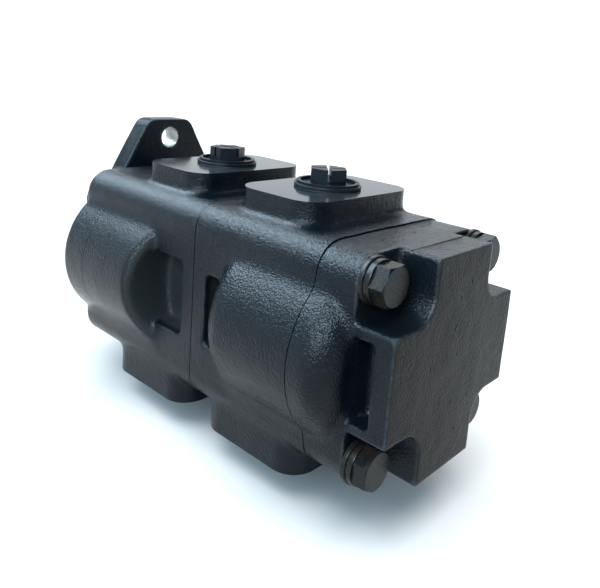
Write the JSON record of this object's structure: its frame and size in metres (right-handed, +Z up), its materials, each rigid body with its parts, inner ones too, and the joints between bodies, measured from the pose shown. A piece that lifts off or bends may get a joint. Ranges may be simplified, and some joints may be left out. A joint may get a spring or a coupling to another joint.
{
  "type": "tandem gear pump",
  "caption": "Tandem external gear pump with an ear-type mounting flange, splined drive shaft, stacked cast housings with side bulges, plugged port pads and a notched rear cover.",
  "frame": {"origin": "centre of the mounting face, on the axis of the drive shaft", "axes": "+X along the drive shaft from the mounting face to the rear cover, +Z up towards the outlet port pads, -Y towards the driven gears"},
  "size_m": [0.3221, 0.1496, 0.173],
  "materials": {
    "black_casting": "semi-gloss black paint over a fine cast surface",
    "black_fastener": "black painted hexagon bolts and washers",
    "black_plastic": "moulded black plastic",
    "ground_steel": "ground and hardened steel",
    "bronze": "sintered bronze",
    "aluminium_block": "machined aluminium",
    "seal_rubber": "nitrile rubber"
  },
  "bodies": {
    "pump_body": {"cover_bushes": "bronze", "flange_bushes": "bronze", "flat_washers": "black_fastener", "front_bearing_block": "aluminium_block", "front_block_bushes": "bronze", "front_block_seal": "seal_rubber", "front_dowels": "ground_steel", "front_gear_housing": "black_casting", "front_inlet_plug": "black_plastic", "front_inlet_ring": "seal_rubber", "front_outlet_plug": "black_plastic", "front_outlet_ring": "seal_rubber", "front_section_seal": "seal_rubber", "front_thrust_plate": "bronze", "inner_shaft_seal": "seal_rubber", "middle_dowels": "ground_steel", "middle_section_seal": "seal_rubber", "mounting_flange": "black_casting", "outer_shaft_seal": "seal_rubber", "rear_bearing_block": "aluminium_block", "rear_block_bushes": "bronze", "rear_block_seal": "seal_rubber", "rear_dowels": "ground_steel", "rear_end_cover": "black_casting", "rear_gear_housing": "black_casting", "rear_inlet_plug": "black_plastic", "rear_inlet_ring": "seal_rubber", "rear_outlet_plug": "black_plastic", "rear_outlet_ring": "seal_rubber", "rear_section_seal": "seal_rubber", "rear_thrust_plate": "bronze", "seal_retaining_ring": "ground_steel", "spring_washers": "black_fastener", "through_bolts": "black_fastener"},
    "drive_train": {"drive_gear_shaft": "ground_steel", "spline_coupling": "ground_steel", "rear_drive_gear": "ground_steel"},
    "front_driven": {"front_driven_gear": "ground_steel"},
    "rear_driven": {"rear_driven_gear": "ground_steel"}
  },
  "joints": [
    {"name": "drive_shaft_spin", "type": "hinge", "parent": "pump_body", "child": "drive_train", "pos_m": [0, 0, 0], "axis": [1, 0, 0], "continuous": true},
    {"name": "front_driven_spin", "type": "hinge", "parent": "pump_body", "child": "front_driven", "pos_m": [0, -0.045, 0], "axis": [1, 0, 0], "continuous": true},
    {"name": "rear_driven_spin", "type": "hinge", "parent": "pump_body", "child": "rear_driven", "pos_m": [0, -0.045, 0], "axis": [1, 0, 0], "continuous": true}
  ],
  "couplings": [
    {"joint": "front_driven_spin", "follows": "drive_shaft_spin", "ratio": -1},
    {"joint": "rear_driven_spin", "follows": "drive_shaft_spin", "ratio": -1}
  ]
}
